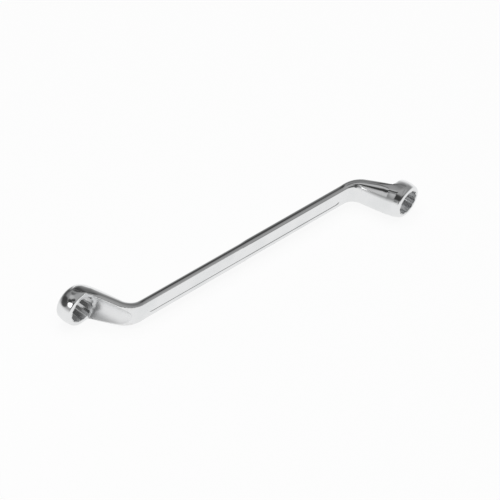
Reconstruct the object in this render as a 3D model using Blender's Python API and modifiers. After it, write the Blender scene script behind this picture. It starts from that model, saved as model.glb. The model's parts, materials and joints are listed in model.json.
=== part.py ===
"""Deep offset ring spanner with a 19 mm and an 18 mm ring: one forging, lying on its narrow side.

X runs along the shank, Z is up and the ring axes are level. The near ring is at -X and is offset
towards +Y, the far ring is at +X and is offset towards -Y. Units are metres.
"""
from collections import namedtuple
from math import cos, pi, radians, sin, sqrt, tan

import bmesh
import bpy
from mathutils import Matrix, Vector

MM = 0.001

# Plan of the tool, seen along Z
RING_SPACING = 257.0 * MM
NEAR_RING_OFFSET = 32.8 * MM
FAR_RING_OFFSET = 30.6 * MM
RING_TILT = radians(11.0)
NECK_ANGLE = radians(59.3)
NEAR_NECK_REACH = 5.2 * MM
FAR_NECK_REACH = 4.1 * MM
BEND_RADIUS = 15.8 * MM

# Rings
NEAR_ACROSS_FLATS = 19.0 * MM
FAR_ACROSS_FLATS = 18.0 * MM
RING_WALL = 3.9 * MM
RING_HEIGHT = 13.5 * MM
RING_CROWN = 1.1 * MM
SHANK_SIDE_EDGE_RADIUS = 0.9 * MM
WORK_SIDE_EDGE_RADIUS = 1.6 * MM
RING_POINTS = 12
MOUTH_CHAMFER_WIDTH = 0.5 * MM
MOUTH_CHAMFER_DEPTH = 0.4 * MM
SPOT_FACE_LAND = 1.0 * MM
SPOT_FACE_DRAFT = radians(6.0)

# Shank
SHANK_WIDTH = 16.5 * MM
SHANK_THICKNESS = 6.0 * MM
BAR_EDGE_RADIUS = 1.3 * MM

# Necks, whose wall is thick in the middle and thin at its rims, like half of a pipe
NECK_THICKNESS = 5.7 * MM
NECK_RIM_THICKNESS = 4.8 * MM
NECK_HOLLOW = 7.3 * MM
NECK_INSET = 0.1 * MM
NECK_FLARE_POWER = 1.3
NECK_BOW_POWER = 2.8
NECK_ROOT_DEPTH = 3.0 * MM
NECK_ROOT_INSET = 1.0 * MM

# The hollow of a neck, which starts at a rounded tip in the bend
HOLLOW_START = 7.0 * MM
HOLLOW_TAPER = 12.0 * MM
HOLLOW_START_DEPTH = 2.4 * MM
HOLLOW_RIM_WIDTH = 0.7 * MM

# Recessed panel on each broad face of the shank
PANEL_LENGTH = 181.0 * MM
PANEL_WIDTH = 8.0 * MM
PANEL_DEPTH = 0.6 * MM
PANEL_DRAFT = radians(30.0)

# Facets
RING_STEPS = 72
EDGE_STEPS = 4
CROWN_STEPS = 6
BROAD_STEPS = 16
BEND_STEPS = 10
NECK_STEPS = 10
PANEL_END_STEPS = 12
BLANK_TURN_SHARE = 0.5
CONE_TURN_SHARE = 0.25

CUT_OVERRUN = 2.0 * MM
MOUTH_OVERRUN = 0.4 * MM
WELD_DISTANCE = 0.001 * MM

CHROME_COLOUR = (0.62, 0.63, 0.64, 1.0)
CHROME_ROUGHNESS = 0.12
SHARP_ANGLE = radians(30.0)

Ring = namedtuple("Ring", "name end across_flats offset neck_reach")
Station = namedtuple("Station", "centre heading side half_width rim bow lip hollow")

NEAR_RING = Ring("near", -1, NEAR_ACROSS_FLATS, NEAR_RING_OFFSET, NEAR_NECK_REACH)
FAR_RING = Ring("far", 1, FAR_ACROSS_FLATS, FAR_RING_OFFSET, FAR_NECK_REACH)


def corner_radius(ring):
    """Radius of the bore's outer corners: those of a hexagon with this size across its flats."""
    return ring.across_flats / 2 / cos(pi / 6)


def point_radius(ring):
    """Radius of the bore's inward points, where the sides of its two hexagons cross."""
    return ring.across_flats / 2 / cos(pi / RING_POINTS)


def outer_radius(ring):
    return corner_radius(ring) + RING_WALL


def ring_frame(ring):
    """The ring's own axes: Z along the bore to the shank's side, X from the bore towards the shank."""
    towards_shank = Vector((cos(RING_TILT), sin(RING_TILT), 0)) * -ring.end
    axis = Vector((sin(RING_TILT), -cos(RING_TILT), 0)) * -ring.end
    frame = Matrix((towards_shank, axis.cross(towards_shank), axis)).transposed().to_4x4()
    frame.translation = Vector((RING_SPACING / 2, -ring.offset, 0)) * ring.end
    return frame


def neck_stations(ring):
    """Sections from the ring's middle along the neck and round its bend, for a ring at the -X end."""
    root = Vector((ring.neck_reach * cos(RING_TILT) - RING_SPACING / 2,
                   ring.neck_reach * sin(RING_TILT) + ring.offset, 0))
    along_neck = Vector((cos(NECK_ANGLE), -sin(NECK_ANGLE), 0))
    straight = root.y / sin(NECK_ANGLE) - BEND_RADIUS * tan(NECK_ANGLE / 2)
    total = straight + BEND_RADIUS * NECK_ANGLE
    shoulder = RING_HEIGHT / 2 / cos(pi / 2 - NECK_ANGLE - RING_TILT)
    widest = outer_radius(ring) - NECK_INSET
    deepest_bow = NECK_HOLLOW + NECK_THICKNESS - NECK_RIM_THICKNESS

    def station(centre, heading, travelled):
        rise = min((total - travelled) / (total - shoulder), 1)
        inset = NECK_ROOT_INSET * max(shoulder - travelled, 0) / (shoulder + NECK_ROOT_DEPTH)
        flare = 1 - (1 - rise) ** NECK_FLARE_POWER
        half_width = SHANK_WIDTH / 2 + (widest - SHANK_WIDTH / 2) * flare - inset
        rim = SHANK_THICKNESS + (NECK_RIM_THICKNESS - SHANK_THICKNESS) * rise
        bow = deepest_bow * flare - inset
        into_hollow = max(total - HOLLOW_START - travelled, 0)
        opened = min(into_hollow / HOLLOW_TAPER, 1)
        spread = sqrt(1 - (1 - opened) ** 2)
        deepened = min(into_hollow / (total - HOLLOW_START - shoulder), 1)
        lip = (half_width - HOLLOW_RIM_WIDTH) * spread
        hollow = HOLLOW_START_DEPTH * spread + (NECK_HOLLOW - HOLLOW_START_DEPTH) * deepened
        return Station(centre, heading, 1, half_width, rim, bow, lip, hollow)

    stations = []
    for step in range(NECK_STEPS):
        travelled = (straight + NECK_ROOT_DEPTH) * step / NECK_STEPS - NECK_ROOT_DEPTH
        stations.append(station(root + along_neck * travelled, -NECK_ANGLE, travelled))
    bend_hub = root + along_neck * straight + Vector((sin(NECK_ANGLE), cos(NECK_ANGLE), 0)) * BEND_RADIUS
    for step in range(BEND_STEPS + 1):
        turned = NECK_ANGLE * step / BEND_STEPS
        heading = turned - NECK_ANGLE
        centre = bend_hub + Vector((sin(heading), -cos(heading), 0)) * BEND_RADIUS
        stations.append(station(centre, heading, straight + BEND_RADIUS * turned))
    return stations


def turned_end_for_end(stations):
    """The same sections after half a turn about Z, listed from the shank out to the ring."""
    return [s._replace(centre=-s.centre, side=-s.side) for s in reversed(stations)]


def section_loop(station):
    """Across the bar: a rounded rectangle whose back bows out and whose front is hollowed."""
    radius = min(BAR_EDGE_RADIUS, station.rim / 2)
    half_width = station.half_width - radius
    half_rim = station.rim / 2 - radius
    outline = []
    for quarter in range(4):
        face = 1 if quarter in (0, 3) else -1
        edge = 1 if quarter < 2 else -1
        for step in range(EDGE_STEPS + 1):
            turn = (quarter + step / EDGE_STEPS) * pi / 2
            offset = face * half_rim + radius * cos(turn)
            outline.append((face, offset, edge * half_width + radius * sin(turn)))
        if quarter in (1, 3):
            for step in range(1, BROAD_STEPS):
                height = edge * half_width * (1 - 2 * step / BROAD_STEPS)
                outline.append((face, face * (half_rim + radius), height))
    across = Vector((-sin(station.heading), cos(station.heading), 0))
    middle = (station.rim - SHANK_THICKNESS) / 2
    loop = []
    for face, offset, height in outline:
        if face == station.side:
            push = station.bow * (1 - abs(height / station.half_width) ** NECK_BOW_POWER)
        elif abs(height) < station.lip:
            push = station.hollow * (1 - (height / station.lip) ** 2)
        else:
            push = 0
        offset += station.side * (middle + push)
        loop.append(station.centre + across * offset + Vector((0, 0, height)))
    return loop


def loft(name, loops):
    """A closed mesh through loops of points, each with the same number of points."""
    shape = bmesh.new()
    rings = [[shape.verts.new(point) for point in loop] for loop in loops]
    for first, second in zip(rings, rings[1:]):
        for index in range(len(first)):
            after = (index + 1) % len(first)
            shape.faces.new((first[index], first[after], second[after], second[index]))
    shape.faces.new(rings[0])
    shape.faces.new(rings[-1])
    bmesh.ops.recalc_face_normals(shape, faces=shape.faces)
    bmesh.ops.triangulate(shape, faces=shape.faces)
    mesh = bpy.data.meshes.new(name)
    shape.to_mesh(mesh)
    shape.free()
    return mesh


def add_object(name, mesh, collection, frame=Matrix.Identity(4)):
    thing = bpy.data.objects.new(name, mesh)
    thing.matrix_world = frame
    collection.objects.link(thing)
    return thing


def add_tool(name, mesh, collection, frame):
    """A solid that only adds to or cuts the forging, drawn as wire and left out of renders."""
    tool = add_object(name, mesh, collection, frame)
    tool.hide_render = True
    tool.display_type = "WIRE"
    return tool


def facet_turn(share):
    """A turn of part of a facet about Z, which keeps the edges of two round solids apart."""
    return Matrix.Rotation(share * 2 * pi / RING_STEPS, 4, "Z")


def cone_mesh(name, lower_radius, upper_radius, height):
    """A cone frustum or cylinder about Z, centred on the origin."""
    shape = bmesh.new()
    bmesh.ops.create_cone(shape, cap_ends=True, segments=RING_STEPS, radius1=lower_radius,
                          radius2=upper_radius, depth=height, matrix=facet_turn(CONE_TURN_SHARE))
    mesh = bpy.data.meshes.new(name)
    shape.to_mesh(mesh)
    shape.free()
    return mesh


def prism_mesh(name, outline, height):
    """An outline in the XY plane, given a thickness along Z."""
    curve = bpy.data.curves.new(name, "CURVE")
    curve.dimensions = "2D"
    curve.fill_mode = "BOTH"
    curve.extrude = height / 2
    spline = curve.splines.new("POLY")
    spline.points.add(len(outline) - 1)
    for point, (x, y) in zip(spline.points, outline):
        point.co = (x, y, 0, 1)
    spline.use_cyclic_u = True
    source = bpy.data.objects.new(name, curve)
    bpy.context.scene.collection.objects.link(source)
    evaluated = source.evaluated_get(bpy.context.evaluated_depsgraph_get())
    mesh = bpy.data.meshes.new_from_object(evaluated)
    bpy.data.objects.remove(source)
    bpy.data.curves.remove(curve)
    shape = bmesh.new()
    shape.from_mesh(mesh)
    bmesh.ops.remove_doubles(shape, verts=shape.verts, dist=WELD_DISTANCE)
    bmesh.ops.recalc_face_normals(shape, faces=shape.faces)
    shape.to_mesh(mesh)
    shape.free()
    return mesh


def ring_profile(ring):
    """Radius and height of the blank's outline, from the shank's side to the work side."""
    half = RING_HEIGHT / 2
    upper = half - SHANK_SIDE_EDGE_RADIUS
    lower = WORK_SIDE_EDGE_RADIUS - half
    outline = []
    for step in range(EDGE_STEPS):
        turn = pi / 2 * (1 - step / EDGE_STEPS)
        outline.append((SHANK_SIDE_EDGE_RADIUS * (cos(turn) - 1), upper + SHANK_SIDE_EDGE_RADIUS * sin(turn)))
    for step in range(CROWN_STEPS + 1):
        outline.append((0, upper + (lower - upper) * step / CROWN_STEPS))
    for step in range(1, EDGE_STEPS + 1):
        turn = pi / 2 * step / EDGE_STEPS
        outline.append((WORK_SIDE_EDGE_RADIUS * (cos(turn) - 1), lower - WORK_SIDE_EDGE_RADIUS * sin(turn)))
    return [(outer_radius(ring) + step_in - RING_CROWN * (height / half) ** 2, height)
            for step_in, height in outline]


def ring_blank(ring, collection):
    """The ring before its bore is cut: a crowned profile turned about the bore's axis."""
    profile = [(0, RING_HEIGHT / 2)] + ring_profile(ring) + [(0, -RING_HEIGHT / 2)]
    mesh = bpy.data.meshes.new(ring.name + "_ring_blank")
    mesh.from_pydata([(x, 0, z) for x, z in profile], [(i, i + 1) for i in range(len(profile) - 1)], [])
    blank = add_tool(mesh.name, mesh, collection, ring_frame(ring) @ facet_turn(BLANK_TURN_SHARE))
    screw = blank.modifiers.new("Turn", "SCREW")
    screw.steps = RING_STEPS
    screw.render_steps = RING_STEPS
    screw.use_merge_vertices = True
    screw.merge_threshold = WELD_DISTANCE
    return blank


def spot_face_cutter(ring, collection):
    """Clears the neck from in front of the mouth that faces the shank's side."""
    narrow = corner_radius(ring) + SPOT_FACE_LAND
    wide = narrow + ring.offset * tan(SPOT_FACE_DRAFT)
    mesh = cone_mesh(ring.name + "_spot_face", narrow, wide, ring.offset)
    place = ring_frame(ring) @ Matrix.Translation((0, 0, ring.offset / 2))
    return add_tool(mesh.name, mesh, collection, place)


def bore_cutter(ring, collection):
    """The twelve-point bore, two hexagons turned half a flat apart, cut right through."""
    outline = []
    for index in range(2 * RING_POINTS):
        radius = corner_radius(ring) if index % 2 == 0 else point_radius(ring)
        turn = pi * index / RING_POINTS
        outline.append((radius * cos(turn), radius * sin(turn)))
    mesh = prism_mesh(ring.name + "_bore", outline, RING_HEIGHT + 2 * CUT_OVERRUN)
    return add_tool(mesh.name, mesh, collection, ring_frame(ring))


def mouth_cutters(ring, collection):
    """The chamfer at each mouth of the bore."""
    slope = MOUTH_CHAMFER_WIDTH / MOUTH_CHAMFER_DEPTH
    wide = point_radius(ring) + MOUTH_CHAMFER_WIDTH + MOUTH_OVERRUN * slope
    narrow = point_radius(ring) - MOUTH_OVERRUN * slope
    height = MOUTH_CHAMFER_DEPTH + 2 * MOUTH_OVERRUN
    cutters = []
    for side in (1, -1):
        mesh = cone_mesh(f"{ring.name}_mouth_{'inner' if side > 0 else 'outer'}",
                         narrow if side > 0 else wide, wide if side > 0 else narrow, height)
        level = side * (RING_HEIGHT - MOUTH_CHAMFER_DEPTH) / 2
        place = ring_frame(ring) @ Matrix.Translation((0, 0, level))
        cutters.append(add_tool(mesh.name, mesh, collection, place))
    return cutters


def panel_cutter(side, collection):
    """The shallow panel with round ends and drafted walls, sunk in one broad face of the shank."""
    loops = []
    for level in (-PANEL_DEPTH, CUT_OVERRUN):
        growth = level * tan(PANEL_DRAFT)
        radius = PANEL_WIDTH / 2 + growth
        run = (PANEL_LENGTH - PANEL_WIDTH) / 2
        loop = []
        for end in (1, -1):
            for step in range(PANEL_END_STEPS + 1):
                turn = end * pi / 2 - pi * step / PANEL_END_STEPS
                loop.append(Vector((end * run + radius * cos(turn), side * (SHANK_THICKNESS / 2 + level),
                                    radius * sin(turn))))
        loops.append(loop)
    mesh = loft("front_panel" if side < 0 else "back_panel", loops)
    return add_tool(mesh.name, mesh, collection, Matrix.Identity(4))


def chrome_material():
    material = bpy.data.materials.new("polished_chrome")
    material.use_nodes = True
    shader = material.node_tree.nodes["Principled BSDF"]
    shader.inputs["Base Color"].default_value = CHROME_COLOUR
    shader.inputs["Metallic"].default_value = 1.0
    shader.inputs["Roughness"].default_value = CHROME_ROUGHNESS
    return material


def rest_frame():
    """Moves the tool so that its box is centred over the origin and its lowest point is at zero."""
    def reach(ring, along, up):
        return max(radius * along - height * up for radius, height in ring_profile(ring))

    reach_x = [reach(ring, cos(RING_TILT), sin(RING_TILT)) for ring in (NEAR_RING, FAR_RING)]
    reach_y = [reach(ring, sin(RING_TILT), cos(RING_TILT)) for ring in (NEAR_RING, FAR_RING)]
    middle_x = (reach_x[1] - reach_x[0]) / 2
    middle_y = (NEAR_RING_OFFSET + reach_y[0] - FAR_RING_OFFSET - reach_y[1]) / 2
    lowest = max(outer_radius(NEAR_RING), outer_radius(FAR_RING))
    return Matrix.Translation((-middle_x, -middle_y, lowest))


def build():
    for thing in list(bpy.data.objects):
        bpy.data.objects.remove(thing, do_unlink=True)
    parts = bpy.data.collections.new("deep_offset_ring_spanner")
    tools = bpy.data.collections.new("forging_cutters")
    bpy.context.scene.collection.children.link(parts)
    bpy.context.scene.collection.children.link(tools)

    stations = neck_stations(NEAR_RING) + turned_end_for_end(neck_stations(FAR_RING))
    mesh = loft("ring_spanner_forging", [section_loop(station) for station in stations])
    mesh.materials.append(chrome_material())
    mesh.shade_smooth()
    mesh.set_sharp_from_angle(angle=SHARP_ANGLE)
    forging = add_object("ring_spanner_forging", mesh, parts)

    rings = (NEAR_RING, FAR_RING)
    steps = [(spot_face_cutter(ring, tools), "DIFFERENCE") for ring in rings]
    steps += [(ring_blank(ring, tools), "UNION") for ring in rings]
    for ring in rings:
        steps += [(cutter, "DIFFERENCE") for cutter in mouth_cutters(ring, tools)]
        steps.append((bore_cutter(ring, tools), "DIFFERENCE"))
    steps += [(panel_cutter(side, tools), "DIFFERENCE") for side in (1, -1)]
    for tool, operation in steps:
        boolean = forging.modifiers.new(tool.name, "BOOLEAN")
        boolean.object = tool
        boolean.operation = operation
        boolean.solver = "EXACT"

    place = rest_frame()
    for thing in list(parts.objects) + list(tools.objects):
        thing.matrix_world = place @ thing.matrix_world


build()
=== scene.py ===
"""Dressed scene of a polished deep offset ring spanner that lies on a white table.

The forging is drawn as one smooth field: the bent bar and the two ring barrels blend into each
other, and the field's surface becomes the mesh. The machined cuts are then taken out of it, as on
the real tool. Lengths in the field are in millimetres, everything else is in metres.
"""

import json
from collections import namedtuple

import bmesh
import bpy
import numpy as np
from mathutils import Matrix, Vector

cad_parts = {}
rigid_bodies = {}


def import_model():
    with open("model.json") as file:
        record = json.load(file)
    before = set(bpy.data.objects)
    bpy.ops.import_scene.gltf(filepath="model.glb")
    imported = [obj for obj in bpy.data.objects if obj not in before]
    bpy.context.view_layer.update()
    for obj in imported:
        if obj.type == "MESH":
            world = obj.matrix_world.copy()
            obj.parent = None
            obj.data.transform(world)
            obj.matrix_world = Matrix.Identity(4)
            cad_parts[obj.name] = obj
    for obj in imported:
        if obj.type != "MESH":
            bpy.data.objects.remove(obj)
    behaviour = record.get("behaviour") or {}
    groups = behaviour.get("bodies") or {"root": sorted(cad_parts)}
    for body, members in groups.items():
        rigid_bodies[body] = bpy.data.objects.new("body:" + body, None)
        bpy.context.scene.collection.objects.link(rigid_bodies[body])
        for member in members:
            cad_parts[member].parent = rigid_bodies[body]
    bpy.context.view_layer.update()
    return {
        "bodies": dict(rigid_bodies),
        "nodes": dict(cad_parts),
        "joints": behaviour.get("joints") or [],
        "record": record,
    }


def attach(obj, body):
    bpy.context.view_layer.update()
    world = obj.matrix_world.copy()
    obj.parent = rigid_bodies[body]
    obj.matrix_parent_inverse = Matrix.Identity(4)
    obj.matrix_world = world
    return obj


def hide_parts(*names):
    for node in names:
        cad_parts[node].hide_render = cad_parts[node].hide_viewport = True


MM = 0.001

# Sizes shared with the solids, in millimetres, degrees and powers
RING_SPACING = 257.0
RING_TILT = np.radians(11.0)
NECK_ANGLE = np.radians(59.3)
BEND_RADIUS = 15.8
RING_WALL = 3.9
RING_HEIGHT = 13.5
RING_CROWN = 1.1
SHANK_SIDE_EDGE_RADIUS = 0.9
WORK_SIDE_EDGE_RADIUS = 1.6
RING_POINTS = 12
MOUTH_CHAMFER_WIDTH = 0.5
MOUTH_CHAMFER_DEPTH = 0.4
SPOT_FACE_LAND = 1.0
SPOT_FACE_DRAFT = np.radians(6.0)
SHANK_WIDTH = 16.5
SHANK_THICKNESS = 6.0
NECK_THICKNESS = 5.7
NECK_RIM_THICKNESS = 4.8
NECK_HOLLOW = 7.3
NECK_INSET = 0.1
NECK_FLARE_POWER = 1.3
NECK_BOW_POWER = 2.8
NECK_ROOT_DEPTH = 3.0
NECK_ROOT_INSET = 1.0
HOLLOW_START = 7.0
HOLLOW_TAPER = 12.0
HOLLOW_START_DEPTH = 2.4
HOLLOW_RIM_WIDTH = 0.7
PANEL_LENGTH = 181.0
PANEL_WIDTH = 8.0
PANEL_DEPTH = 0.6
PANEL_DRAFT = np.radians(30.0)

# Sizes of the finish, in millimetres, shares and degrees
NECK_FILLET = 6.0
FILLET_FADE = 2.5
LEAST_FILLET_SHARE = 0.02
SIDE_CROWN_RADIUS = 15.0
CREST_SOFTNESS = 1.2
BACK_EDGE_SOFTNESS = 2.6
FLARE_SOFTNESS = 0.15
HOLLOW_SOFTNESS = 0.7
LEAST_LIP = 0.01
PANEL_SOFTNESS = 0.25
CROWN_SOFTNESS = 0.6
CROWN_RUN = 6.0
CROWN_SLOPE = 0.12
RING_ZONE = 90.0
FINISH_ALLOWANCE = 0.05
RIDGE_FLAT = 0.5
RIDGE_DEPTH = 0.05
SHARP_ANGLE = np.radians(28.0)

# How far the cutters run on past what they cut, in millimetres
BORE_OVERRUN = 2.0
MOUTH_RUN_IN = 0.5
MOUTH_RUN_OUT = 0.3

# Where the chrome is worn or satin, and how near a face lies to the surface it is part of, in millimetres
EDGE_WEAR_WIDTH = 0.6
WORN_BAND = 1.0
SATIN_START = 97.0
SATIN_RUN = 8.0
ON_SURFACE = 0.1
ON_BORE = 0.02

# Grid lines of the forging's mesh and how its points settle, in millimetres. Corners nearer to each
# other than a sliver after the cuts are merged.
GRID_REACH = (146.0, 43.0, 15.6)
GRID = 0.4
SHANK_GRID = 3.0
PANEL_END_GRID = 0.3
PANEL_END_RUN = 6.0
PANEL_WALL_GRID = 0.15
PANEL_WALL_RUN = 0.8
NECK_START = 96.0
CREST_START = 7.0
PROFILE_POINTS = 4001
TURNED_STEPS = 192
SETTLE_ROUNDS = 3
PULLS = 3
PROBE = 0.01
LEAST_SLOPE_SQUARED = 0.2
SLIVER = 0.0002

# The chrome. A scale says how often its noise repeats in a metre.
CHROME_COLOUR = (0.79, 0.795, 0.80)
SMEAR_COLOUR = (0.75, 0.76, 0.765)
WORN_COLOUR = (0.74, 0.735, 0.73)
BORE_COLOUR = (0.58, 0.585, 0.59)
CHROME_ROUGHNESS = 0.06
BORE_ROUGHNESS = 0.2
SATIN_ROUGHNESS = 0.3
SMEAR_SCALE = 60.0
SMEAR_RANGE = (0.40, 0.70)
SMEAR_ADDS = 0.05
POLISH_SCALES = (150.0, 2500.0, 2500.0)
POLISH_ADDS = 0.03
WEAR_SCALE = 500.0
WEAR_RANGE = (0.45, 0.60)
WEAR_ADDS = 0.12
GRAIN_SCALE = 9000.0
GRAIN_SHARE = 0.5
RELIEF_STRENGTH = 0.05
RELIEF_DEPTH = 0.02

# The stage, in metres, watts and degrees
TABLE_WIDTH = 8.0
TABLE_COLOUR = (0.93, 0.93, 0.93)
TABLE_GRAIN_COLOUR = (0.91, 0.912, 0.915)
TABLE_GRAIN_SCALE = 700.0
TABLE_ROUGHNESS = 0.9
TABLE_GLOW_SHARE = 0.9
LAMP_WIDTH = 1.6
LAMP_HEIGHT = 1.5
LAMP_POWER = 16.0
SOFTBOX_WIDTH = 0.085
SOFTBOX_REACH = 0.2
SOFTBOX_POWER = 0.0232
SOFTBOX_AZIMUTH = -95.0
SOFTBOX_ELEVATION = 43.0

# The room that the chrome shows: how bright it looks, and the sines of elevation over which that changes
HORIZON_LIGHT = 0.90
WALL_LIGHT = 0.30
WALL_RISE = (-0.05, 0.45)
CEILING_LIGHT = 0.42
CEILING_RISE = (0.75, 0.97)

# What stands in the room, in degrees. Azimuths turn from +Y to +X, and the camera is at -142.
Patch = namedtuple("Patch", "azimuth elevation inner outer light")
Strip = namedtuple("Strip", "left right low high soft light")
ROOM = (
    # Dark opening between wall and ceiling behind the tool
    Strip(-78, 22, 30, 44, 6, 0.10),
    Strip(22, 68, 36, 46, 4, 0.18),
    Patch(34, 46, 3, 8, 0.06),
    # Dark flag at the left, and the parts of its stand above it
    Patch(-64, 24, 10, 20, 0.085),
    Patch(-48, 36, 9, 18, 0.065),
    Patch(-74, 73, 6, 11, 0.06),
    # Pale part of the ceiling over the far neck, and the dark one beside it
    Patch(-30, 68, 6, 13, 0.55),
    Patch(13, 60, 3, 8, 0.15),
    # Strip light between dark flags
    Strip(-144, -117, 24, 58, 6, 0.05),
    Patch(-110, 60, 4, 9, 0.06),
    Strip(-100, -84, 24, 56, 5, 0.65),
    Patch(-72, 56, 6, 12, 0.05),
    # The camera and its stand
    Patch(-165, 32, 12, 24, 0.06),
    Patch(-132, 12, 5, 11, 0.08),
)

# The camera found from the photograph
CAMERA_AZIMUTH = np.radians(-37.6)
CAMERA_ELEVATION = np.radians(48.09)
FOCAL_PIXELS = 1556.2
FRAME_PIXELS = 500
SENSOR_WIDTH = 36.0
CAMERA_DISTANCE = 1162.16 * MM
CENTRE_COLUMN = 244.51
CENTRE_ROW = 250.95
CLIP_START = 0.05
CLIP_END = 50.0

# A ring lies at one end of X. Its offset is its centre's distance from the shank's middle line, and its
# neck reach is how far from its axis the neck's middle line starts.
Ring = namedtuple("Ring", "name end across_flats offset neck_reach")
NEAR_RING = Ring("near", -1, 19.0, 32.8, 5.2)
FAR_RING = Ring("far", 1, 18.0, 30.6, 4.1)
RINGS = (NEAR_RING, FAR_RING)


def corner_radius(ring):
    """From the bore's axis to its twelve corners, which are those of the hexagon that it takes."""
    return ring.across_flats / 2 / np.cos(np.pi / 6)


def point_radius(ring):
    """From the bore's axis to the ridges between its corners."""
    return ring.across_flats / 2 / np.cos(np.pi / RING_POINTS)


def outer_radius(ring):
    """From the bore's axis to the outside, at the ring's widest."""
    return corner_radius(ring) + RING_WALL


def ring_profile(ring):
    """Radius and height along the crowned outside of a ring, its rounded rims with it."""
    half = RING_HEIGHT / 2
    height = np.linspace(-half, half, PROFILE_POINTS)
    edge = np.where(height > 0, SHANK_SIDE_EDGE_RADIUS, WORK_SIDE_EDGE_RADIUS)
    into_edge = np.maximum(np.abs(height) - (half - edge), 0)
    radius = outer_radius(ring) - RING_CROWN * (height / half) ** 2
    return radius - edge + np.sqrt(np.maximum(edge ** 2 - into_edge ** 2, 0)), height


def rest_shift():
    """Where the middle of the shank lies in the row frame."""
    def reach(ring, along, up):
        radius, height = ring_profile(ring)
        return (radius * along - height * up).max()

    reach_x = [reach(ring, np.cos(RING_TILT), np.sin(RING_TILT)) for ring in RINGS]
    reach_y = [reach(ring, np.sin(RING_TILT), np.cos(RING_TILT)) for ring in RINGS]
    return np.array([(reach_x[0] - reach_x[1]) / 2,
                     (FAR_RING.offset + reach_y[1] - NEAR_RING.offset - reach_y[0]) / 2,
                     max(outer_radius(ring) for ring in RINGS)])


SHIFT = rest_shift()


def smooth_least(first, second, width):
    """The lesser of two distances, with the crease between them rounded over that width."""
    share = np.clip(1 - np.abs(first - second) / width, 0, 1)
    return np.minimum(first, second) - share ** 3 * width / 6


def rounded_box(across, up, half_across, half_up, radius):
    """Distance to a flat rectangle with rounded corners."""
    over_across = np.abs(across) - (half_across - radius)
    over_up = np.abs(up) - (half_up - radius)
    outside = np.hypot(np.maximum(over_across, 0), np.maximum(over_up, 0))
    return outside + np.minimum(np.maximum(over_across, over_up), 0) - radius


def bar_field(x, y, z, ring):
    """Distances to the outside of the half of the bar that carries this ring, and to its hollow.

    The ring is seen at the -X end. The hollow's distance is below zero in front of its floor.
    """
    root = np.array([ring.neck_reach * np.cos(RING_TILT) - RING_SPACING / 2,
                     ring.neck_reach * np.sin(RING_TILT) + ring.offset])
    along = np.array([np.cos(NECK_ANGLE), -np.sin(NECK_ANGLE)])
    across = np.array([np.sin(NECK_ANGLE), np.cos(NECK_ANGLE)])
    straight = root[1] / np.sin(NECK_ANGLE) - BEND_RADIUS * np.tan(NECK_ANGLE / 2)
    hub = root + along * straight + across * BEND_RADIUS
    total = straight + BEND_RADIUS * NECK_ANGLE
    shoulder = RING_HEIGHT / 2 / np.cos(np.pi / 2 - NECK_ANGLE - RING_TILT)

    # How far along the bar's middle line a point lies, counted from the neck's root, and how far off it
    from_hub_x, from_hub_y = x - hub[0], y - hub[1]
    heading = np.arctan2(from_hub_x, -from_hub_y)
    from_hub = np.hypot(from_hub_x, from_hub_y)
    travelled_neck = (x - root[0]) * along[0] + (y - root[1]) * along[1]
    offset_neck = (x - root[0]) * across[0] + (y - root[1]) * across[1]
    on_shank = from_hub_x >= 0
    on_neck = ~on_shank & (travelled_neck < straight)
    behind_hub = (heading > 0) | (heading < -NECK_ANGLE)
    travelled_bend = straight + BEND_RADIUS * (heading + NECK_ANGLE)
    offset_bend = np.where(behind_hub, BEND_RADIUS + from_hub, BEND_RADIUS - from_hub)
    travelled = np.where(on_shank, total + from_hub_x, np.where(on_neck, travelled_neck, travelled_bend))
    offset = np.where(on_shank, y, np.where(on_neck, offset_neck, offset_bend))

    # How wide the bar is there, and how thick at its rims
    rise = np.minimum((total - travelled) / (total - shoulder), 1)
    rise = -smooth_least(-rise, 0, FLARE_SOFTNESS)
    flare = 1 - (1 - np.minimum(rise, 1)) ** NECK_FLARE_POWER
    inset = NECK_ROOT_INSET * np.maximum(shoulder - travelled, 0) / (shoulder + NECK_ROOT_DEPTH)
    half = SHANK_WIDTH / 2 + (outer_radius(ring) - NECK_INSET - SHANK_WIDTH / 2) * flare - inset
    rim = SHANK_THICKNESS + (NECK_RIM_THICKNESS - SHANK_THICKNESS) * rise
    share = np.minimum(np.abs(z) / half, 1)

    # The bowed back
    bow = (NECK_HOLLOW + NECK_THICKNESS - NECK_RIM_THICKNESS) * flare - inset
    slope = NECK_BOW_POWER * bow / half * share ** (NECK_BOW_POWER - 1)
    back = offset + SHANK_THICKNESS / 2 - rim - bow * (1 - share ** NECK_BOW_POWER)
    back = back / np.hypot(1, slope)

    # The hollow, from its rounded tip near the bend to the ring
    into_hollow = np.maximum(total - HOLLOW_START - travelled, 0)
    opened = np.minimum(into_hollow / HOLLOW_TAPER, 1)
    spread = np.sqrt(1 - (1 - opened) ** 2)
    deepened = np.minimum(into_hollow / (total - HOLLOW_START - shoulder), 1)
    lip = (half - HOLLOW_RIM_WIDTH) * spread + LEAST_LIP
    hollow = HOLLOW_START_DEPTH * spread + (NECK_HOLLOW - HOLLOW_START_DEPTH) * deepened
    from_lip = 1 - (z / lip) ** 2
    slope = np.where(from_lip > 0, 2 * hollow * np.abs(z) / lip ** 2, 0)
    hollow = (offset + SHANK_THICKNESS / 2 - hollow * np.maximum(from_lip, 0)) / np.hypot(1, slope)

    # The flat front and the crowned narrow sides, with soft crests between the faces
    front = -SHANK_THICKNESS / 2 - offset
    middle = (rim - SHANK_THICKNESS) / 2
    side = np.abs(z) - half + (offset - middle) ** 2 / (2 * SIDE_CROWN_RADIUS)
    crest = -smooth_least(-front, -side, CREST_SOFTNESS)
    outside = -smooth_least(-crest, -back, BACK_EDGE_SOFTNESS)
    return np.maximum(outside, -travelled - NECK_ROOT_DEPTH), hollow


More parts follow.
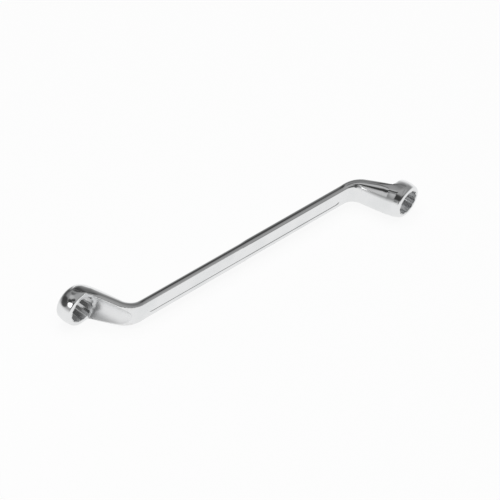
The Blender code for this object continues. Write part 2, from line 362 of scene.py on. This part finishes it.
def panel_cut(x, y, z):
    """How deep a point lies in one of the two panels, as a negative distance."""
    run = np.maximum(np.abs(x) - (PANEL_LENGTH - PANEL_WIDTH) / 2, 0)
    level = np.abs(y) - SHANK_THICKNESS / 2
    wall = (np.hypot(run, z) - PANEL_WIDTH / 2) * np.cos(PANEL_DRAFT) - level * np.sin(PANEL_DRAFT)
    floor = -PANEL_DEPTH - level
    return -smooth_least(-wall, -floor, PANEL_SOFTNESS)


def ring_axes(ring):
    """The ring's centre, the way from the bore to the shank, and the bore's axis to the shank's side."""
    centre = np.array([RING_SPACING / 2, -ring.offset]) * ring.end
    towards = np.array([np.cos(RING_TILT), np.sin(RING_TILT)]) * -ring.end
    axis = np.array([np.sin(RING_TILT), -np.cos(RING_TILT)]) * -ring.end
    return centre, towards, axis


def ring_place(x, y, z, ring):
    """How far points lie towards the shank, along the bore's axis, and from that axis."""
    centre, towards, axis = ring_axes(ring)
    sideways = (x - centre[0]) * towards[0] + (y - centre[1]) * towards[1]
    along = (x - centre[0]) * axis[0] + (y - centre[1]) * axis[1]
    return sideways, along, np.hypot(sideways, z)


def barrel_field(along, from_axis, ring):
    """Distance to the crowned outside of a ring and its rounded rims, with no bore."""
    edge_radius = np.where(along > 0, SHANK_SIDE_EDGE_RADIUS, WORK_SIDE_EDGE_RADIUS)
    crowned = from_axis + RING_CROWN * (2 * along / RING_HEIGHT) ** 2
    return rounded_box(along, crowned, RING_HEIGHT / 2, outer_radius(ring) - FINISH_ALLOWANCE, edge_radius)


def bar_fields(x, y, z):
    """Distances to the outside of the whole bar, and to the hollows of its necks."""
    near, near_hollow = bar_field(x, y, z, NEAR_RING)
    far, far_hollow = bar_field(-x, -y, z, FAR_RING)
    return np.where(x < 0, near, far), np.where(x < 0, near_hollow, far_hollow)


def forging_field(x, y, z):
    """Below zero inside the forging. The middle of the shank is at zero."""
    bar, hollow = bar_fields(x, y, z)
    field = -smooth_least(-bar, panel_cut(x, y, z), PANEL_SOFTNESS)
    for ring in RINGS:
        sideways, along, from_axis = ring_place(x, y, z, ring)
        fillet = NECK_FILLET * np.clip((0.5 + along / RING_HEIGHT) * FILLET_FADE, LEAST_FILLET_SHARE, 1)
        blended = smooth_least(field, barrel_field(along, from_axis, ring), fillet)
        shank_face = RING_HEIGHT / 2 - along
        hollow = np.where(x * ring.end > 0, np.maximum(hollow, shank_face), hollow)
        # The narrow sides stay below the ring's widest part and slope down from it towards the shank
        run = np.maximum(sideways, 0)
        drop = np.where(run < CROWN_RUN, run ** 2 / (2 * CROWN_RUN), run - CROWN_RUN / 2)
        crown = np.abs(z) - outer_radius(ring) + FINISH_ALLOWANCE + CROWN_SLOPE * drop
        blended = -smooth_least(-blended, -crown, CROWN_SOFTNESS)
        work_face = -along - RING_HEIGHT / 2 + FINISH_ALLOWANCE
        field = np.where(x * ring.end > RING_ZONE, np.maximum(blended, work_face), field)
    return -smooth_least(-field, hollow, HOLLOW_SOFTNESS)


def spaced(*stretches):
    """Grid lines through stretches of (start, end, step), each starting where the last one ended."""
    lines = [np.linspace(start, end, max(int(round((end - start) / step)), 1), endpoint=False)
             for start, end, step in stretches]
    return np.concatenate(lines + [np.array([stretches[-1][1]])])


def surface_net(field, x, y, z):
    """Points and quads of the surface where the field is zero, one point in each cell it crosses."""
    inside = field < 0
    corners = [(i, j, k) for i in (0, 1) for j in (0, 1) for k in (0, 1)]
    shape = tuple(n - 1 for n in field.shape)

    def at(array, corner):
        return array[tuple(slice(c, c + n) for c, n in zip(corner, shape))]

    count = sum(at(inside, corner).astype(np.int8) for corner in corners)
    cells = np.argwhere((count > 0) & (count < 8))
    number = np.full(shape, -1, np.int64)
    number[tuple(cells.T)] = np.arange(len(cells))
    total = np.zeros((len(cells), 3))
    hits = np.zeros(len(cells))
    lines = (x, y, z)
    for axis in range(3):
        for corner in corners:
            if corner[axis]:
                continue
            low = cells + corner
            high = low.copy()
            high[:, axis] += 1
            start, end = field[tuple(low.T)], field[tuple(high.T)]
            crossed = (start < 0) != (end < 0)
            share = np.where(crossed, start / np.where(crossed, start - end, 1), 0)
            point = np.stack([lines[n][low[:, n]] for n in range(3)], axis=1)
            point[:, axis] += share * (lines[axis][high[:, axis]] - lines[axis][low[:, axis]])
            total += point * crossed[:, None]
            hits += crossed
    points = total / hits[:, None]

    # One quad around each stretch of grid line that crosses the surface, turned to face outwards
    quads = []
    for axis in range(3):
        low = tuple(slice(0, -1) if n == axis else slice(1, -1) for n in range(3))
        high = tuple(slice(1, None) if n == axis else slice(1, -1) for n in range(3))
        flips = np.argwhere(inside[low] != inside[high])
        flips[:, [n for n in range(3) if n != axis]] += 1
        first, second = [n for n in range(3) if n != axis]
        around = []
        for back_first, back_second in ((1, 1), (0, 1), (0, 0), (1, 0)):
            cell = flips.copy()
            cell[:, first] -= back_first
            cell[:, second] -= back_second
            around.append(number[tuple(cell.T)])
        quad = np.stack(around, axis=1)
        outward = inside[tuple(flips.T)]
        if axis == 1:
            outward = ~outward
        quad[~outward] = quad[~outward][:, ::-1]
        quads.append(quad)
    return points, np.concatenate(quads)


def pulled(points, field):
    """The points moved once along the field's slope towards the surface."""
    slope = np.stack([field(*(points + shift).T) - field(*(points - shift).T)
                      for shift in np.eye(3) * PROBE], axis=1) / (2 * PROBE)
    away = field(*points.T) / np.maximum((slope ** 2).sum(axis=1), LEAST_SLOPE_SQUARED)
    return points - slope * away[:, None]


def settle(points, quads, field):
    """Evens out the points along the surface and moves each one exactly on to it."""
    start, end = np.concatenate([quads[:, [n, (n + 1) % 4]] for n in range(4)]).T
    number = len(points)
    count = np.bincount(start, minlength=number) + np.bincount(end, minlength=number)
    for turn in range(SETTLE_ROUNDS + 1):
        for _ in range(PULLS):
            points = pulled(points, field)
        if turn < SETTLE_ROUNDS:
            total = np.stack([np.bincount(start, column[end], number)
                              + np.bincount(end, column[start], number) for column in points.T], axis=1)
            points = points * 0.5 + total / count[:, None] * 0.5
    return points


def forging_mesh():
    """The forging before it is machined. Its grid is closer at the panels' ends and walls."""
    reach_x, reach_y, reach_z = GRID_REACH
    panel_end = PANEL_LENGTH / 2 - PANEL_END_RUN
    wall_start, wall_end = PANEL_WIDTH / 2 - PANEL_WALL_RUN, PANEL_WIDTH / 2 + PANEL_WALL_RUN
    x = spaced((-reach_x, -NECK_START, GRID), (-NECK_START, -panel_end, PANEL_END_GRID),
               (-panel_end, panel_end, SHANK_GRID),
               (panel_end, NECK_START, PANEL_END_GRID), (NECK_START, reach_x, GRID))
    y = spaced((-reach_y, reach_y, GRID))
    z = spaced((-reach_z, -CREST_START, GRID), (-CREST_START, -wall_end, GRID),
               (-wall_end, -wall_start, PANEL_WALL_GRID), (-wall_start, wall_start, GRID),
               (wall_start, wall_end, PANEL_WALL_GRID),
               (wall_end, CREST_START, GRID), (CREST_START, reach_z, GRID))
    field = forging_field(x[:, None, None], y[None, :, None], z[None, None, :])
    points, quads = surface_net(field, x, y, z)
    points = settle(points, quads, forging_field)
    mesh = bpy.data.meshes.new("ring_spanner")
    mesh.from_pydata((points + SHIFT) * MM, [], quads.tolist())
    mesh.update()
    return mesh


def ring_frame(ring):
    """The ring's axes in the row frame: Z along the bore to the shank's side, X towards the shank."""
    centre, towards, axis = ring_axes(ring)
    towards = Vector((*towards, 0))
    axis = Vector((*axis, 0))
    frame = Matrix((towards, axis.cross(towards), axis)).transposed().to_4x4()
    frame.translation = Vector((np.array([*centre, 0]) + SHIFT) * MM)
    return frame


def turned_mesh(name, profile):
    """A closed solid turned about Z from a profile of (radius, height), in millimetres."""
    shape = bmesh.new()
    columns = []
    for step in range(TURNED_STEPS):
        # A quarter of a step off, so that no edge falls on a corner of the bore
        turn = 2 * np.pi * (step + 0.25) / TURNED_STEPS
        columns.append([shape.verts.new((radius * np.cos(turn) * MM, radius * np.sin(turn) * MM,
                                         height * MM)) for radius, height in profile])
    for first, second in zip(columns, columns[1:] + columns[:1]):
        for low in range(len(profile) - 1):
            shape.faces.new((first[low], second[low], second[low + 1], first[low + 1]))
    shape.faces.new([column[0] for column in reversed(columns)])
    shape.faces.new([column[-1] for column in columns])
    mesh = bpy.data.meshes.new(name)
    bmesh.ops.recalc_face_normals(shape, faces=shape.faces)
    shape.to_mesh(mesh)
    shape.free()
    return mesh


def bore_mesh(ring):
    """The twelve-point bore, its ridges rubbed flat by the nuts."""
    half = RING_HEIGHT / 2 + BORE_OVERRUN
    rubbed = RIDGE_FLAT / 2 / point_radius(ring)
    ridge_radius = point_radius(ring) + RIDGE_DEPTH
    outline = []
    for index in range(RING_POINTS):
        turn = 2 * np.pi * index / RING_POINTS
        ridge = turn + np.pi / RING_POINTS
        for radius, angle in ((corner_radius(ring), turn),
                              (ridge_radius, ridge - rubbed), (ridge_radius, ridge + rubbed)):
            outline.append((radius * np.cos(angle) * MM, radius * np.sin(angle) * MM))
    shape = bmesh.new()
    low = [shape.verts.new((px, py, -half * MM)) for px, py in outline]
    high = [shape.verts.new((px, py, half * MM)) for px, py in outline]
    for index in range(len(outline)):
        after = (index + 1) % len(outline)
        shape.faces.new((low[index], low[after], high[after], high[index]))
    shape.faces.new(low[::-1])
    shape.faces.new(high)
    mesh = bpy.data.meshes.new(ring.name + "_bore")
    shape.to_mesh(mesh)
    shape.free()
    return mesh


def mouth_mesh(ring, side):
    """The chamfer at one mouth, as a cone frustum."""
    slope = MOUTH_CHAMFER_WIDTH / MOUTH_CHAMFER_DEPTH
    level = RING_HEIGHT / 2
    narrow = point_radius(ring) - MOUTH_RUN_IN * slope
    wide = point_radius(ring) + MOUTH_CHAMFER_WIDTH
    profile = [(narrow, level - MOUTH_CHAMFER_DEPTH - MOUTH_RUN_IN), (wide, level),
               (wide + MOUTH_RUN_OUT * slope, level + MOUTH_RUN_OUT)]
    profile = [(radius, height * side) for radius, height in profile]
    return turned_mesh(f"{ring.name}_mouth", profile)


def spot_face_mesh(ring):
    """Clears the neck from in front of the mouth on the shank's side, as a shallow cone."""
    profile = [(corner_radius(ring) + SPOT_FACE_LAND + height * np.tan(SPOT_FACE_DRAFT), height)
               for height in (RING_HEIGHT / 2, ring.offset)]
    return turned_mesh(ring.name + "_spot_face", profile)


def cut(target, mesh, frame):
    """Takes a cutter's mesh out of the target, and returns the cutter."""
    tool = bpy.data.objects.new(mesh.name, mesh)
    tool.matrix_world = frame
    bpy.context.scene.collection.objects.link(tool)
    boolean = target.modifiers.new(mesh.name, "BOOLEAN")
    boolean.object = tool
    boolean.operation = "DIFFERENCE"
    boolean.solver = "MANIFOLD"
    return tool


def apply_modifiers(target):
    """Makes the cuts final, and merges the corners that they leave almost on each other."""
    bpy.context.view_layer.update()
    evaluated = target.evaluated_get(bpy.context.evaluated_depsgraph_get())
    mesh = bpy.data.meshes.new_from_object(evaluated)
    shape = bmesh.new()
    shape.from_mesh(mesh)
    bmesh.ops.remove_doubles(shape, verts=shape.verts, dist=SLIVER * MM)
    shape.to_mesh(mesh)
    shape.free()
    target.modifiers.clear()
    old = target.data
    target.data = mesh
    bpy.data.meshes.remove(old)


def mark_faces(mesh):
    """Writes on each face how far it is broached bore, unpolished neck hollow or rubbed edge."""
    middles = np.empty(len(mesh.polygons) * 3)
    mesh.polygons.foreach_get("center", middles)
    x, y, z = (middles.reshape(-1, 3) / MM - SHIFT).T
    bar, hollow = bar_fields(x, y, z)
    from_crest = np.maximum(np.abs(bar), np.abs(hollow))
    worn = np.clip(1 - from_crest / EDGE_WEAR_WIDTH, 0, 1) * (np.abs(z) > SHANK_WIDTH / 2 - WORN_BAND)
    satin = np.clip((np.abs(x) - SATIN_START) / SATIN_RUN, 0, 1)
    satin[np.abs(hollow) > ON_SURFACE] = 0
    broached = np.zeros(len(x))
    for ring in RINGS:
        _, along, from_axis = ring_place(x, y, z, ring)
        from_middle = np.abs(along)
        inside = (from_axis < corner_radius(ring) + ON_BORE) & (from_middle < RING_HEIGHT / 2)
        wall = corner_radius(ring) + SPOT_FACE_LAND + along * np.tan(SPOT_FACE_DRAFT)
        satin[(along > RING_HEIGHT / 2) & (np.abs(from_axis - wall) < ON_SURFACE)] = 1
        satin[inside] = 0
        ridge = from_axis < point_radius(ring) + 1.25 * RIDGE_DEPTH
        broached[inside & ~ridge] = 1
        rim = np.maximum(from_axis - corner_radius(ring), RING_HEIGHT / 2 - from_middle)
        worn = np.where(inside | (rim > EDGE_WEAR_WIDTH), worn, 1)
    for name, values in (("bore", broached), ("wear", worn), ("satin", satin)):
        mesh.attributes.new(name, "FLOAT", "FACE").data.foreach_set("value", values)


def build_spanner(material):
    """The forging, machined and marked, as one piece."""
    spanner = bpy.data.objects.new("ring_spanner", forging_mesh())
    bpy.context.scene.collection.objects.link(spanner)
    spanner.data.materials.append(material)
    tools = []
    for ring in RINGS:
        frame = ring_frame(ring)
        for mesh in (spot_face_mesh(ring), mouth_mesh(ring, 1), mouth_mesh(ring, -1), bore_mesh(ring)):
            tools.append(cut(spanner, mesh, frame))
    apply_modifiers(spanner)
    for tool in tools:
        mesh = tool.data
        bpy.data.objects.remove(tool)
        bpy.data.meshes.remove(mesh)
    mark_faces(spanner.data)
    spanner.data.shade_smooth()
    spanner.data.set_sharp_from_angle(angle=SHARP_ANGLE)
    return spanner


def value_node(tree, operation, *inputs):
    """A math node on numbers or on the sockets of other nodes."""
    node = tree.nodes.new("ShaderNodeMath")
    node.operation = operation
    for socket, value in zip(node.inputs, inputs):
        if isinstance(value, bpy.types.NodeSocket):
            tree.links.new(value, socket)
        else:
            socket.default_value = value
    return node.outputs["Value"]


def stepped(tree, value, low, high):
    """Goes smoothly from 0 to 1 as a value goes from low to high."""
    node = tree.nodes.new("ShaderNodeMapRange")
    node.interpolation_type = "SMOOTHSTEP"
    tree.links.new(value, node.inputs["Value"])
    node.inputs["From Min"].default_value = low
    node.inputs["From Max"].default_value = high
    return node.outputs["Result"]


def way_to(azimuth, elevation):
    """The way to a place in the room. Its azimuth turns from +Y to +X, and both are in degrees."""
    azimuth, elevation = np.radians(azimuth), np.radians(elevation)
    return (np.sin(azimuth) * np.cos(elevation), np.cos(azimuth) * np.cos(elevation), np.sin(elevation))


def cosine_to(tree, direction, azimuth, elevation):
    """The cosine between a direction and the way to a place in the room."""
    node = tree.nodes.new("ShaderNodeVectorMath")
    node.operation = "DOT_PRODUCT"
    tree.links.new(direction, node.inputs[0])
    node.inputs[1].default_value = way_to(azimuth, elevation)
    return node.outputs["Value"]


def blend_value(tree, first, second, share):
    """Goes from the first number to the second as the share goes from 0 to 1."""
    gap = value_node(tree, "SUBTRACT", second, first)
    return value_node(tree, "MULTIPLY_ADD", gap, share, first)


def noise(tree, place, scale, detail, stretch=(1, 1, 1)):
    """Noise between 0 and 1 whose pattern repeats that many times in a metre."""
    mapping = tree.nodes.new("ShaderNodeMapping")
    mapping.inputs["Scale"].default_value = stretch
    tree.links.new(place, mapping.inputs["Vector"])
    node = tree.nodes.new("ShaderNodeTexNoise")
    node.inputs["Scale"].default_value = scale
    node.inputs["Detail"].default_value = detail
    tree.links.new(mapping.outputs["Vector"], node.inputs["Vector"])
    return node.outputs["Fac"]


def blend_colour(tree, first, second, share):
    """Goes from the first colour to the second as the share goes from 0 to 1."""
    node = tree.nodes.new("ShaderNodeMix")
    node.data_type = "RGBA"
    tree.links.new(share, node.inputs["Factor"])
    for socket, colour in ((node.inputs["A"], first), (node.inputs["B"], second)):
        if isinstance(colour, bpy.types.NodeSocket):
            tree.links.new(colour, socket)
        else:
            socket.default_value = (*colour, 1)
    return node.outputs["Result"]


def chrome_material():
    """Polished chrome with faint polishing lines, soft smears, rubbed edges and dull broached bores."""
    material = bpy.data.materials.new("polished_chrome")
    material.use_nodes = True
    tree = material.node_tree
    shader = tree.nodes["Principled BSDF"]
    place = tree.nodes.new("ShaderNodeTexCoord").outputs["Object"]
    smears = stepped(tree, noise(tree, place, SMEAR_SCALE, 3), *SMEAR_RANGE)
    lines = noise(tree, place, 1, 2, POLISH_SCALES)
    grain = noise(tree, place, GRAIN_SCALE, 2)
    marks = {}
    for name in ("bore", "wear", "satin"):
        node = tree.nodes.new("ShaderNodeAttribute")
        node.attribute_name = name
        marks[name] = node.outputs["Fac"]
    bore = marks["bore"]
    patchy = stepped(tree, noise(tree, place, WEAR_SCALE, 4), *WEAR_RANGE)
    worn = value_node(tree, "MULTIPLY", marks["wear"], patchy)

    colour = blend_colour(tree, CHROME_COLOUR, SMEAR_COLOUR, smears)
    colour = blend_colour(tree, colour, WORN_COLOUR, worn)
    colour = blend_colour(tree, colour, BORE_COLOUR, bore)
    tree.links.new(colour, shader.inputs["Base Color"])
    shader.inputs["Metallic"].default_value = 1.0

    rough = value_node(tree, "MULTIPLY_ADD", smears, SMEAR_ADDS, CHROME_ROUGHNESS)
    rough = value_node(tree, "MULTIPLY_ADD", lines, POLISH_ADDS, rough)
    rough = value_node(tree, "MULTIPLY_ADD", worn, WEAR_ADDS, rough)
    rough = blend_value(tree, rough, SATIN_ROUGHNESS, marks["satin"])
    rough = blend_value(tree, rough, BORE_ROUGHNESS, bore)
    tree.links.new(rough, shader.inputs["Roughness"])

    relief = value_node(tree, "MULTIPLY_ADD", grain, value_node(tree, "MULTIPLY", bore, GRAIN_SHARE), lines)
    bump = tree.nodes.new("ShaderNodeBump")
    bump.inputs["Strength"].default_value = RELIEF_STRENGTH
    bump.inputs["Distance"].default_value = RELIEF_DEPTH * MM
    tree.links.new(relief, bump.inputs["Height"])
    tree.links.new(bump.outputs["Normal"], shader.inputs["Normal"])
    return material


def patch_share(tree, direction, patch):
    """1 within the patch's inner angle from its middle, fading to 0 at its outer angle."""
    inner, outer = np.cos(np.radians(patch.inner)), np.cos(np.radians(patch.outer))
    return stepped(tree, cosine_to(tree, direction, patch.azimuth, patch.elevation), outer, inner)


def strip_share(tree, direction, strip):
    """1 between the strip's two azimuths and two elevations, fading to 0 over its soft edges."""
    low, high, soft = np.radians((strip.low, strip.high, strip.soft))
    edge = np.sin(soft)
    height = cosine_to(tree, direction, 0, 90)
    past_left = stepped(tree, cosine_to(tree, direction, strip.left + 90, 0), -edge, edge)
    before_right = stepped(tree, cosine_to(tree, direction, strip.right + 90, 0), edge, -edge)
    above = stepped(tree, height, np.sin(low - soft), np.sin(low + soft))
    below = stepped(tree, height, np.sin(high + soft), np.sin(high - soft))
    share = value_node(tree, "MULTIPLY", past_left, before_right)
    share = value_node(tree, "MULTIPLY", share, above)
    return value_node(tree, "MULTIPLY", share, below)


def build_world():
    """A pale studio that the chrome shows: bright low down, dim walls, and what ROOM lists."""
    world = bpy.data.worlds.new("studio")
    bpy.context.scene.world = world
    world.use_nodes = True
    tree = world.node_tree
    direction = tree.nodes.new("ShaderNodeTexCoord").outputs["Generated"]
    height = cosine_to(tree, direction, 0, 90)
    light = blend_value(tree, HORIZON_LIGHT, WALL_LIGHT, stepped(tree, height, *WALL_RISE))
    light = blend_value(tree, light, CEILING_LIGHT, stepped(tree, height, *CEILING_RISE))
    for part in ROOM:
        share_of = patch_share if isinstance(part, Patch) else strip_share
        light = blend_value(tree, light, part.light, share_of(tree, direction, part))
    path = tree.nodes.new("ShaderNodeLightPath")
    light = blend_value(tree, light, 1.0, path.outputs["Is Camera Ray"])
    background = tree.nodes["Background"]
    background.inputs["Color"].default_value = (1, 1, 1, 1)
    tree.links.new(light, background.inputs["Strength"])


def table_material():
    """White paper on a light table: its own light hides most of the shadow, as in the photograph."""
    material = bpy.data.materials.new("white_table")
    material.use_nodes = True
    tree = material.node_tree
    shader = tree.nodes["Principled BSDF"]
    place = tree.nodes.new("ShaderNodeTexCoord").outputs["Object"]
    colour = blend_colour(tree, TABLE_COLOUR, TABLE_GRAIN_COLOUR, noise(tree, place, TABLE_GRAIN_SCALE, 4))
    tree.links.new(colour, shader.inputs["Base Color"])
    shader.inputs["Roughness"].default_value = TABLE_ROUGHNESS
    shader.inputs["Specular IOR Level"].default_value = 0.0
    glow = tree.nodes.new("ShaderNodeEmission")
    path = tree.nodes.new("ShaderNodeLightPath")
    seen = value_node(tree, "MAXIMUM", path.outputs["Is Camera Ray"], path.outputs["Is Glossy Ray"])
    mix = tree.nodes.new("ShaderNodeMixShader")
    tree.links.new(value_node(tree, "MULTIPLY", seen, TABLE_GLOW_SHARE), mix.inputs["Fac"])
    tree.links.new(shader.outputs["BSDF"], mix.inputs[1])
    tree.links.new(glow.outputs["Emission"], mix.inputs[2])
    tree.links.new(mix.outputs["Shader"], tree.nodes["Material Output"].inputs["Surface"])
    return material


def disk_lamp(name, width, power, place):
    """A round lamp that the camera does not see."""
    data = bpy.data.lights.new(name, "AREA")
    data.shape = "DISK"
    data.size = width
    data.energy = power
    lamp = bpy.data.objects.new(name, data)
    lamp.location = place
    lamp.visible_camera = False
    bpy.context.scene.collection.objects.link(lamp)
    return lamp


def build_stage():
    """The table, the lamp over it, and the small softbox whose bright spot shows on the near ring."""
    mesh = bpy.data.meshes.new("table")
    half = TABLE_WIDTH / 2
    corners = [(-half, -half, 0), (half, -half, 0), (half, half, 0), (-half, half, 0)]
    mesh.from_pydata(corners, [], [(0, 1, 2, 3)])
    mesh.materials.append(table_material())
    table = bpy.data.objects.new("table", mesh)
    bpy.context.scene.collection.objects.link(table)

    overhead = disk_lamp("overhead", LAMP_WIDTH, LAMP_POWER, (0, 0, LAMP_HEIGHT))
    overhead.visible_glossy = False
    centre = Vector((*ring_axes(NEAR_RING)[0], 0)) * MM + Vector(SHIFT * MM)
    out = Vector(way_to(SOFTBOX_AZIMUTH, SOFTBOX_ELEVATION))
    softbox = disk_lamp("softbox", SOFTBOX_WIDTH, SOFTBOX_POWER, centre + out * SOFTBOX_REACH)
    softbox.rotation_euler = out.to_track_quat("Z", "Y").to_euler()


def build_camera():
    """Puts the camera where the photograph was taken from."""
    right = Vector((np.cos(CAMERA_AZIMUTH), np.sin(CAMERA_AZIMUTH), 0))
    back = Vector((np.sin(CAMERA_AZIMUTH) * np.cos(CAMERA_ELEVATION),
                   -np.cos(CAMERA_AZIMUTH) * np.cos(CAMERA_ELEVATION), np.sin(CAMERA_ELEVATION)))
    up = back.cross(right)
    per_pixel = CAMERA_DISTANCE / FOCAL_PIXELS
    place = (Vector(SHIFT * MM) + back * CAMERA_DISTANCE
             - right * (CENTRE_COLUMN - FRAME_PIXELS / 2) * per_pixel
             + up * (CENTRE_ROW - FRAME_PIXELS / 2) * per_pixel)
    data = bpy.data.cameras.new("camera")
    data.sensor_width = SENSOR_WIDTH
    data.lens = FOCAL_PIXELS / FRAME_PIXELS * SENSOR_WIDTH
    data.clip_start = CLIP_START
    data.clip_end = CLIP_END
    camera = bpy.data.objects.new("camera", data)
    frame = Matrix((right, up, back)).transposed().to_4x4()
    frame.translation = place
    camera.matrix_world = frame
    bpy.context.scene.collection.objects.link(camera)
    bpy.context.scene.camera = camera


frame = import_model()
bpy.context.scene.view_settings.view_transform = "Standard"

spanner = build_spanner(chrome_material())
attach(spanner, "root")
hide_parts("ring_spanner_forging")
build_world()
build_stage()
build_camera()
